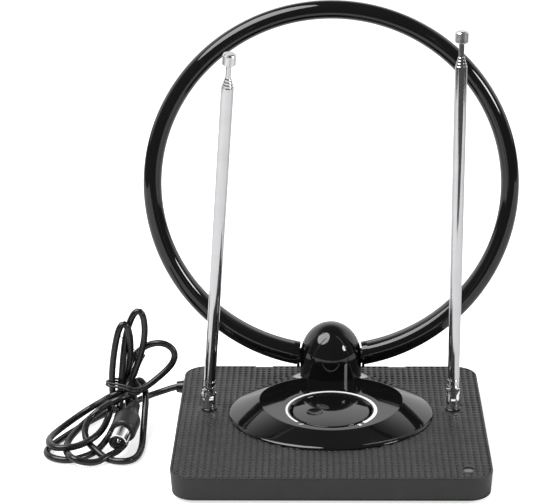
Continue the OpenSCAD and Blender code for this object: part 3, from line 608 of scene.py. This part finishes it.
def waffle():
    """A block with a grid of shallow pits in its top."""
    verts, faces, grid = [], [], {}

    def corner(i, j):
        if (i, j) not in grid:
            grid[(i, j)] = len(verts)
            verts.append(((i - CELLS_X / 2) * PITCH, (j - CELLS_Y / 2) * PITCH, TUB_TOP))
        return grid[(i, j)]

    for i in range(CELLS_X):
        for j in range(CELLS_Y):
            x, y = (i + 0.5 - CELLS_X / 2) * PITCH, (j + 0.5 - CELLS_Y / 2) * PITCH
            cell = (corner(i, j), corner(i + 1, j), corner(i + 1, j + 1), corner(i, j + 1))
            if is_plain(x, y):
                faces.append(cell)
                continue
            rows = []
            for half, cut, depth in PIT_RINGS:
                flat = half - cut
                octagon = [(-flat, -half), (flat, -half), (half, -flat), (half, flat),
                           (flat, half), (-flat, half), (-half, flat), (-half, -flat)]
                rows.append([len(verts) + k for k in range(8)])
                verts.extend((x + dx, y + dy, TUB_TOP - depth) for dx, dy in octagon)
            rim = rows[0]
            for k in range(4):
                here, after = cell[k], cell[(k + 1) % 4]
                faces.append((here, after, rim[2 * k + 1], rim[2 * k]))
                faces.append((after, rim[(2 * k + 2) % 8], rim[2 * k + 1]))
            for upper, lower in zip(rows, rows[1:]):
                for k in range(8):
                    after = (k + 1) % 8
                    faces.append((upper[k], upper[after], lower[after], lower[k]))
            faces.append(tuple(rows[-1]))

    # sides and underside
    border = [(i, 0) for i in range(CELLS_X)] + [(CELLS_X, j) for j in range(CELLS_Y)]
    border += [(i, CELLS_Y) for i in range(CELLS_X, 0, -1)]
    border += [(0, j) for j in range(CELLS_Y, 0, -1)]
    bottom = {}
    for key in border:
        bottom[key] = len(verts)
        x, y, _ = verts[grid[key]]
        verts.append((x, y, STOCK_BOTTOM))
    for key, after in zip(border, border[1:] + border[:1]):
        faces.append((grid[after], grid[key], bottom[key], bottom[after]))
    faces.append(tuple(bottom[key] for key in reversed(border)))
    return verts, faces


def build_panel():
    """The waffle block is cut to a slab with screw posts, rod bosses and holes."""
    stock = solid("panel_stock", *waffle())
    slab = solid("panel_slab", *loft([tub_ring(RIM + PANEL_GAP, z)
                                      for z in (PANEL_BOTTOM, TUB_TOP + 1)], capped=True))
    combine(slab, posts(SCREWS, 3.2, TUB_BOTTOM + 1.85, PANEL_BOTTOM + 0.4)
            + posts(RODS, 5.5, PANEL_BOTTOM - 4, PANEL_BOTTOM + 0.5), "UNION")
    through = TUB_TOP + 3
    neck_screws = [(sx * 9, NECK[1] + sy * 8) for sx in (-1, 1) for sy in (-1, 1)]
    holes = posts(SCREWS, 1.2, 0, PANEL_BOTTOM + 0.4, 24)
    for places, radius, sides in ((RODS, 3.25, 40), ([NECK], 7, 48), ([(0, KNOB_Y)], 3.6, 32),
                                  ([LED], 2.8, 48), (neck_screws, 1.3, 20), (PEGS, 1.6, 20)):
        holes += posts(places, radius, 0, through, sides)
    combine(slab, holes, "DIFFERENCE")
    combine(stock, [slab], "INTERSECT")
    finish_solid("waffled_top_panel", stock, MAT["panel"], "top_panel", 40.0)


build_panel()

# ------------------------------------------------------------------ knob
KNOB_SIDES = 224
CROWN_RINGS = 84
KNOB_EDGE = BEZEL_TOP - 0.4     # height of the crown's edge
CROWN_RISE = 1.1
DIMPLE_OUT = 9.2                # from the knob's axis to the dimple's
DIMPLE_ANGLE = math.radians(202)
DIMPLE_R = 9.2                  # radius of the sphere that makes the dimple
DIMPLE_LIFT = 8.96              # height of its centre above the edge
DIMPLE_BLEND = 0.05


def crown_height(x, y):
    """Height of the domed top with its finger dimple; x and y are from the knob's axis."""
    z = KNOB_EDGE + CROWN_RISE * (1 - min(1.0, math.hypot(x, y) / (KNOB_R - 0.6)) ** 2)
    dx = x - DIMPLE_OUT * math.cos(DIMPLE_ANGLE)
    dy = y - DIMPLE_OUT * math.sin(DIMPLE_ANGLE)
    square = dx * dx + dy * dy
    if square < 60:
        bowl = KNOB_EDGE + DIMPLE_LIFT - math.sqrt(DIMPLE_R ** 2 - square)
        # the lower of the two surfaces, with the crease between them blended
        share = max(0.0, min(1.0, 0.5 + 0.5 * (bowl - z) / DIMPLE_BLEND))
        z = bowl * (1 - share) + z * share - DIMPLE_BLEND * share * (1 - share)
    return z


def knob_ring(radius, height=None):
    """A ring at one height, or on the crown where no height is given."""
    points = []
    for j in range(KNOB_SIDES):
        x = radius * math.cos(2 * math.pi * j / KNOB_SIDES)
        y = radius * math.sin(2 * math.pi * j / KNOB_SIDES)
        points.append((x, KNOB_Y + y, crown_height(x, y) if height is None else height))
    return points


def knob_shape():
    edge, base, outer = KNOB_EDGE, knob_lo.z, KNOB_R
    roof = edge - 1.4
    # (radius, height): down the bore, round the hub and up the outside
    profile = [
        (3.02, roof), (3.02, base), (5.5, base), (5.5, roof),
        (outer - 1.6, roof), (outer - 1.6, base + 0.15), (outer - 1.45, base),
        (outer - 0.15, base), (outer, base + 0.15), (outer, edge - 0.62),
        (outer - 0.04, edge - 0.4), (outer - 0.14, edge - 0.2), (outer - 0.3, edge - 0.06)]
    rings = [knob_ring(*station) for station in profile]
    rings += [knob_ring((outer - 0.55) * (1 - i / CROWN_RINGS)) for i in range(CROWN_RINGS)]
    verts, faces = loft(rings)
    centre = len(verts)
    last = centre - KNOB_SIDES
    verts += [(0, KNOB_Y, crown_height(0, 0)), (0, KNOB_Y, roof)]
    after = [(j + 1) % KNOB_SIDES for j in range(KNOB_SIDES)]
    faces += [(last + j, last + k, centre) for j, k in enumerate(after)]
    faces += [(k, j, centre + 1) for j, k in enumerate(after)]
    return verts, faces


add_piece("gain_knob_cap", knob_shape(), MAT["gloss"], "knob", "knob", 30.0)

# ------------------------------------------------------------------ loop shells
HINGE_Z = 27.8
LOOP_R = 91.6
LOOP_DROP = 0.2                     # how far the loop's centre line dips below the hinge
LEAN = math.radians(3.47)           # towards the back
END_ANGLE = math.asin(20 / LOOP_R)  # where the shells stop, from the bottom
LOOP_STEPS = 288
SECTION_STEPS = 26
INNER_STEPS = 10
RIM_OFF = 0.012                     # from the parting plane to the shell's edge


def loop_point(angle, radius, forward):
    """A point at an angle from the bottom, a radius from the middle, in front of the plane."""
    y = -forward
    z = LOOP_R - LOOP_DROP - radius * math.cos(angle)
    return (radius * math.sin(angle),
            NECK[1] + y * math.cos(LEAN) + z * math.sin(LEAN),
            HINGE_Z - y * math.sin(LEAN) + z * math.cos(LEAN))


def shell_section(angle):
    """Half of the tube's section, as (outward, off the parting plane) with rounded rims."""
    swell = max(0.0, math.cos(angle)) ** 2      # the tube swells towards the neck
    half_w, half_d = 4.66 + 1.2 * swell, 4.72 + 2.0 * swell
    power = 2 / (2.0 + 0.5 * swell)
    rim = [(half_w - 0.55, RIM_OFF), (half_w - 0.24, 0.03), (half_w - 0.09, 0.13)]
    section = list(rim)
    start = math.asin((0.34 / half_d) ** (1 / power))
    for j in range(SECTION_STEPS + 1):
        t = start + (math.pi - 2 * start) * j / SECTION_STEPS
        cosine = math.cos(t)
        section.append((math.copysign(abs(cosine) ** power, cosine) * half_w,
                        half_d * math.sin(t) ** power))
    section += [(-out, off) for out, off in reversed(rim)]
    for j in range(INNER_STEPS + 1):
        t = math.pi - math.pi * j / INNER_STEPS
        section.append(((half_w - 1.4) * math.cos(t),
                        max(RIM_OFF, (half_d - 1.5) * math.sin(t))))
    return section


def loop_shell(side):
    """One hollow half of the tube; side is 1 for the front and -1 for the back."""
    rings = []
    for i in range(LOOP_STEPS + 1):
        angle = END_ANGLE + (2 * math.pi - 2 * END_ANGLE) * i / LOOP_STEPS
        rings.append([loop_point(angle, LOOP_R + out, side * off)
                      for out, off in shell_section(angle)])
    return loft(rings, capped=True)


for side, cad_name in ((1, "loop_front_shell"), (-1, "loop_rear_shell")):
    add_piece(cad_name + "_moulding", loop_shell(side), MAT["gloss"], "loop",
              cad_name, 38.0)

# ------------------------------------------------------------------ cable hank
CABLE_R = 1.7
# (x, y, z) stations from inside the base, round the hank and up to the plug
CABLE_WAY = [
    (-66, 54, 7.5), (-72, 54, 7.5), (-77.5, 54, 7.6),
    (-81.9, 54, 7.7), (-88.6, 54, 5.2), (-95.8, 50.6, 4.2), (-100.7, 46.1, 3.6),
    (-106.6, 41, 3), (-115.3, 32.9, 2.6), (-123.7, 23.1, 2.2), (-132.4, 8.7, 2),
    (-139.4, -4.5, 2), (-143, -12.1, 2), (-141.9, -19.1, 2), (-136.6, -23.4, 2),
    (-128.1, -23.9, 2), (-119.4, -17.1, 2.2), (-113.3, -7.3, 4.5), (-109.1, 1.2, 10),
    (-107.4, 12, 15.7), (-107, 16, 23.4), (-106.4, 18, 34.7), (-104.9, 20, 47.1),
    (-102.7, 21, 56.5), (-99.6, 21, 64), (-96.8, 21, 65.8), (-94.9, 21, 60.5),
    (-94.7, 21, 50.6), (-96.6, 20, 41.6), (-100.2, 19, 31.5), (-104.8, 17, 22.9),
    (-111.4, 10, 21.6), (-121.4, 20.1, 12), (-129.8, 15.3, 8), (-137.2, 7.7, 5),
    (-141.7, -3.8, 5), (-141.8, -12.7, 5.6), (-137, -19.1, 5.6), (-130.1, -18.6, 5.6),
    (-122.5, -14.6, 6.5), (-116.5, -8.7, 9), (-113.4, 4, 10.9), (-111.6, 11, 17.2),
    (-111.7, 14, 24.2), (-111.4, 15, 33.8), (-109.6, 16, 46.6), (-107.1, 17, 57.2),
    (-104.8, 17.5, 60.6), (-102.6, 18, 55.6), (-102, 19, 45.3), (-103.3, 21, 33.4),
    (-106.8, 21, 21.2), (-111.2, 17, 16.2), (-119.3, 18.2, 9.5), (-126.7, 9.8, 6),
    (-131.8, -3.8, 4.5), (-133, -13.6, 3), (-127.8, -29.8, 5.5), (-120.7, -27.8, 2),
    (-113, -25.8, 2), (-107.3, -18.1, 3), (-103.7, -11.2, 8), (-103.8, 14, 7.5),
    (-104, 19, 14.2), (-105, 23, 20.3), (-104.5, 24, 28.8), (-102, 24, 36.6),
    (-96.7, 24, 42.5), (-89.4, 24, 45.6), (-82.8, 24, 44.4), (-78.8, 24, 39.4),
    (-81, 23, 33.7), (-87.6, 21, 27.9), (-95.1, 17, 23), (-101.9, 12, 21.5),
    (-109.4, 5, 21.3), (-117, 8.5, 15), (-122.6, 4.6, 12), (-124.6, -3.0, 9),
    (-123.1, -9.4, 6.0), (-117.5, -16.6, 3.0), (-109.9, -23.6, 2.0), (-102.6, -26.6, 2.0),
    (-97.0, -22.6, 2.0), (-95.0, -9.9, 2.5), (-95.2, 0.4, 6.0), (-94.6, 13, 17),
    (-95.4, 22, 21.5), (-98, 28, 24), (-101.5, 28.5, 23), (-102, 24, 19.8),
    (-100.9, 17.5, 17.6), (-100.15, 12.4, 16.3), (-99.7, 9.6, 15.7),
]
PLUG_FRONT = np.array((-106.0, -20.0, 9.5))
PLUG_AXIS = np.array((5.7, 30.8, 6.5))
PLUG_AXIS /= np.linalg.norm(PLUG_AXIS)
# room kept round the plug: distances along its axis, and the radius at each
PLUG_ROOM = ([-3, 0, 9, 9.5, 19.5, 25.5, 33, 36], [0, 5.0, 5.0, 6.9, 6.9, 4.2, 3.2, 0])
BASE_SIDE_X = -79.6         # the strands stay to the left of this, below BASE_CLEAR_Z
BASE_CLEAR_Z = 16

SETTLE_ROUNDS = 260
STRAIGHTEN = 0.09           # pull towards the middle of the two neighbours
HOMING = 0.055              # pull back to the first place
STRAND_PUSH = 0.32          # push between strands that touch
PLUG_PUSH = 0.6
MAX_MOVE = 0.8              # per round


def resample(path, step):
    path = np.asarray(path, float)
    along = np.r_[0, np.cumsum(np.linalg.norm(np.diff(path, axis=0), axis=1))]
    count = max(2, int(round(along[-1] / step)))
    wanted = np.linspace(0, along[-1], count + 1)
    return np.stack([np.interp(wanted, along, path[:, k]) for k in range(3)], 1)


def catmull(path, steps):
    """A Catmull-Rom curve through the points."""
    path = np.asarray(path, float)
    knots = np.vstack([2 * path[0] - path[1], path, 2 * path[-1] - path[-2]])
    curve = []
    for i in range(1, len(knots) - 2):
        before, here, after, later = knots[i - 1:i + 3]
        for j in range(steps):
            t = j / steps
            curve.append(0.5 * (2 * here + (after - before) * t
                                + (2 * before - 5 * here + 4 * after - later) * t * t
                                + (3 * here - before - 3 * after + later) * t ** 3))
    curve.append(path[-1])
    return np.array(curve)


def settle(path):
    """Pushes strands apart and keeps them on the table, clear of the base and the plug."""
    home = path.copy()
    index = np.arange(len(path))
    fixed = np.zeros(len(path), bool)
    fixed[:9] = True
    fixed[-5:] = True
    other_strand = np.abs(index[:, None] - index[None, :]) > 5
    gap = 2 * CABLE_R + 0.12
    for _ in range(SETTLE_ROUNDS):
        middle = 0.5 * (np.roll(path, 1, 0) + np.roll(path, -1, 0))
        move = STRAIGHTEN * (middle - path)
        move += HOMING * (home - path)

        apart = path[:, None, :] - path[None, :, :]
        distance = np.linalg.norm(apart, axis=2) + 1e-9
        touching = (distance < gap) & other_strand
        push = np.where(touching, (gap - distance) / distance * STRAND_PUSH, 0.0)
        move += (apart * push[:, :, None]).sum(1)

        from_plug = path - PLUG_FRONT
        along = from_plug @ PLUG_AXIS
        radial = from_plug - along[:, None] * PLUG_AXIS
        radius = np.linalg.norm(radial, axis=1) + 1e-9
        room = np.interp(along, *PLUG_ROOM) + CABLE_R
        inside = (along > -2) & (along < 35) & (radius < room)
        inside[-14:] = False        # the end that enters the plug
        move += np.where(inside[:, None],
                         radial / radius[:, None] * (room - radius)[:, None] * PLUG_PUSH, 0)

        move[fixed] = 0
        length = np.linalg.norm(move, axis=1)
        move *= np.minimum(1, MAX_MOVE / (length + 1e-9))[:, None]
        path = path + move
        path[:, 2] = np.maximum(path[:, 2], CABLE_R + 0.03)
        hit = (path[:, 0] > BASE_SIDE_X) & (path[:, 2] < BASE_CLEAR_Z) & (index > 12)
        path[hit, 0] = BASE_SIDE_X
        path[fixed] = home[fixed]
    return path


def tube(path, radius_at, sides):
    """A capped tube; radius_at gives the radius at a share of the length."""
    path = np.asarray(path, float)
    tangent = np.gradient(path, axis=0)
    tangent /= np.linalg.norm(tangent, axis=1)[:, None]
    across = np.cross(tangent[0], (0.1, 0.2, 1.0))
    across /= np.linalg.norm(across)
    rings = []
    for i in range(len(path)):
        across = across - (across @ tangent[i]) * tangent[i]
        across /= np.linalg.norm(across)
        third = np.cross(tangent[i], across)
        radius = radius_at(i / (len(path) - 1))
        angles = [2 * math.pi * j / sides for j in range(sides)]
        rings.append([tuple(path[i] + radius * (math.cos(a) * across + math.sin(a) * third))
                      for a in angles])
    return loft(rings, capped=True)


def add_strand(name, path, radius_at, sides, material, replaced, angle=50.0):
    add_piece(name, tube(path, radius_at, sides), material, "base", replaced, angle)


def cable_line():
    line = settle(resample(catmull(CABLE_WAY, 10), 2.6))
    for _ in range(2):
        smoothed = line.copy()
        smoothed[1:-1] = 0.25 * line[:-2] + 0.5 * line[1:-1] + 0.25 * line[2:]
        smoothed[:6], smoothed[-4:] = line[:6], line[-4:]
        line = smoothed
    return resample(catmull(line, 3), 1.5)


cable = cable_line()
add_strand("coax_cable_hank", cable, lambda t: CABLE_R, 18, MAT["cable"], "coax_cable", 60.0)

# ------------------------------------------------------------------ tie wire
TIE = np.array((-106.2, 17.5, 24.6))
TIE_AXIS = np.array((0.22, 0.12, 0.97))
TIE_AXIS /= np.linalg.norm(TIE_AXIS)
TIE_X = np.cross((0, 1, 0), TIE_AXIS)
TIE_X /= np.linalg.norm(TIE_X)
TIE_Y = np.cross(TIE_AXIS, TIE_X)
TURNS = 2.4
TURN_STEPS = 44
TURN_PITCH = 1.5
# (x, y, z) offsets: the twisted end and the thin core from the knot, the tail from the start
TWIST = ((0.9, -1.0, 1.0), (1.9, -1.5, 2.6), (2.6, -1.2, 4.8), (3.6, -0.8, 7.6),
         (5.0, -0.2, 10.6), (6.4, 0.2, 13.2))
TAIL = ((0, 0, 0), (-0.8, -1.1, -0.9), (-2.6, -1.4, -2.6), (-4.6, -1.0, -4.6), (-6.8, -0.2, -6.6))
CORE = ((1.4, -1.4, 1.8), (3.4, -2.0, 6.0), (5.4, -2.2, 12.4), (5.2, -2.2, 13.6),
        (1.6, -2.6, 17.0), (-3.4, -3.0, 22.4), (-6.0, -3.0, 25.8))


def bundle_section():
    """Cable points near the tie, flattened onto its plane."""
    along = ((cable - TIE) @ TIE_AXIS)[:, None] * TIE_AXIS
    near = cable[np.linalg.norm((cable - TIE) - along, axis=1) < 8]
    near = near[np.abs((near - TIE) @ TIE_AXIS) < 3.0]
    return np.stack([(near - TIE) @ TIE_X, (near - TIE) @ TIE_Y], 1)


def wrap_radius(section, angle):
    """Reach of the bundle in one direction, so that the tie lies on its convex outline."""
    angles = np.linspace(0, 2 * math.pi, 180, endpoint=False)
    reach = np.max(section[:, 0][:, None] * np.cos(angles)
                   + section[:, 1][:, None] * np.sin(angles), axis=0) + CABLE_R + 0.75
    cosine = np.cos(angles - angle)
    facing = cosine > 0.15
    return float(np.min(reach[facing] / cosine[facing]))


def offset_from(point, offsets):
    return [point + np.array(offset) for offset in offsets]


def build_tie():
    """A coated wire wound round the bundle and twisted, with two loose ends."""
    section = bundle_section()
    wire = []
    for i in range(int(TURNS * TURN_STEPS)):
        angle = -1.2 + 2 * math.pi * i / TURN_STEPS
        radius = wrap_radius(section, angle)
        rise = -1.4 + TURN_PITCH * i / TURN_STEPS + 0.35 * math.sin(3 * angle)
        wire.append(TIE + TIE_X * radius * math.cos(angle) + TIE_Y * radius * math.sin(angle)
                    + TIE_AXIS * rise)
    start, knot = wire[0], wire[-1]
    wire += offset_from(knot, TWIST)
    add_strand("tie_wire", catmull(resample(wire, 2.0), 4),
               lambda t: 0.62 if t < 0.86 else 0.78, 10, MAT["tie"], "cable_tie")
    add_strand("tie_wire_tail", catmull(offset_from(start, TAIL), 6),
               lambda t: 0.6, 10, MAT["tie"], "cable_tie")
    add_strand("tie_wire_core", catmull(offset_from(knot, CORE), 6),
               lambda t: 0.24, 8, MAT["steel"], "cable_tie")


build_tie()


# ------------------------------------------------------------------ plug body

def plug_shape():
    # (radius, distance from the plug's front): grip, taper, ribbed sleeve and bore
    profile = [
        (4.62, 9.0), (5.75, 9.0), (6.2, 9.12), (6.48, 9.45), (6.58, 9.95), (6.6, 11.2),
        (6.6, 18.2), (6.55, 19.1), (6.36, 20.0), (5.95, 21.2), (5.3, 22.6), (4.65, 23.9),
        (4.2, 24.8), (3.95, 25.6), (3.9, 26.2)]
    for k in range(4):
        z = 26.4 + 1.6 * k
        rib = 3.75 - 0.24 * k
        profile += [(rib, z), (rib - 0.28, z + 0.25), (rib - 0.28, z + 0.65),
                    (rib - 0.04, z + 0.9)]
    profile += [(2.85, 32.7), (2.6, 33.0), (1.72, 33.0), (1.72, 22.0), (4.4, 21.5),
                (4.4, 16.5), (4.62, 16.4)]
    return revolve(profile, 72, PLUG_FRONT, PLUG_AXIS)


add_piece("plug_body_moulding", plug_shape(), MAT["plug"], "base", "plug_body",
          30.0)

# ------------------------------------------------------------------ floor, lights and camera
# From here on lengths are in metres.
FLOOR_LIFT = 0.7            # glow of the floor, seen only by the camera
FLOOR_POINTS = [(-0.52, -0.46), (-0.01, -0.46), (-0.01, 2.3), (-0.95, 2.3), (-0.01, -0.31),
                (0.66, -0.31), (0.95, 2.3)]
FLOOR_Z = -0.0002


def build_floor():
    mesh = bpy.data.meshes.new("studio_floor")
    mesh.from_pydata([(x, y, FLOOR_Z) for x, y in FLOOR_POINTS], [],
                     [(0, 1, 4, 2, 3), (4, 5, 6, 2)])
    floor = link_object("studio_floor", mesh)
    material, shader = new_material("pale_floor")
    camera_ray = shader.node("LightPath").outputs["Is Camera Ray"]
    shader.set(shader.surface, {
        "Base Color": shader.mix(shader.noise(3.0), (0.80, 0.80, 0.80), (0.83, 0.83, 0.83)),
        "Roughness": 0.85,
        "Specular IOR Level": 0.2,
        "Emission Color": (1, 1, 1, 1),
        "Emission Strength": shader.times(camera_ray, FLOOR_LIFT),
    })
    mesh.materials.append(material)


def disk_light(name, direction, distance, size, radiance):
    """A round lamp aimed at the neck's top, out along a direction from it."""
    target = Vector((0, NECK[1], 30.6)) * MM
    direction = Vector(direction).normalized()
    light = bpy.data.lights.new(name, "AREA")
    light.shape = "DISK"
    light.size = size
    light.energy = radiance * math.pi * (math.pi * size * size / 4)
    lamp = link_object(name, light)
    lamp.location = target + direction * distance
    lamp.rotation_euler = direction.to_track_quat("Z", "Y").to_euler()
    lamp.visible_camera = False


def build_world():
    """White to the camera; lights with a backdrop that fades overhead and a dim front."""
    world = bpy.data.worlds.new("studio")
    scene.world = world
    shader = Shader(world, "OutputWorld", "Background")
    direction = shader.node("SeparateXYZ", {0: shader.coords["Generated"]}).outputs

    def fade(axis, start, end):
        return shader.remap(direction[axis], source=(start, end), kind="SMOOTHSTEP")

    back = fade("Y", start=-0.05, end=0.35)
    low = shader.maths("SUBTRACT", 1.0, fade("Z", start=0.5, end=0.85))
    above = fade("Z", start=-0.03, end=0.01)
    backdrop = shader.times(shader.times(shader.times(back, low), above), 1.1)
    glow = shader.maths("ADD", backdrop, 0.12)
    camera_ray = shader.node("LightPath").outputs["Is Camera Ray"]
    seen = shader.times(camera_ray, 1.0)
    unseen = shader.times(shader.maths("SUBTRACT", 1.0, camera_ray), glow)
    shader.set(shader.surface, {"Strength": shader.maths("ADD", seen, unseen),
                                "Color": (1, 1, 1, 1)})


def build_camera():
    lens = bpy.data.cameras.new("camera")
    lens.lens = 131.42
    lens.sensor_width = 36.0
    lens.shift_x = -0.0629
    lens.clip_end = 20
    camera = link_object("camera", lens)
    camera.location = (-0.0044448, -0.94293, 0.44291)
    camera.rotation_euler = (math.radians(90 - 19.8155), 0, math.radians(0.21472))
    scene.camera = camera


build_floor()
disk_light("softbox", direction=(-0.449, -0.238, 0.864), distance=1.05, size=0.86, radiance=8.0)
disk_light("side_lamp", direction=(0.795, -0.449, 0.406), distance=1.0, size=0.27, radiance=20.0)
build_world()
build_camera()
scene.view_settings.view_transform = "Standard"
scene.view_settings.look = "None"

bpy.context.view_layer.update()
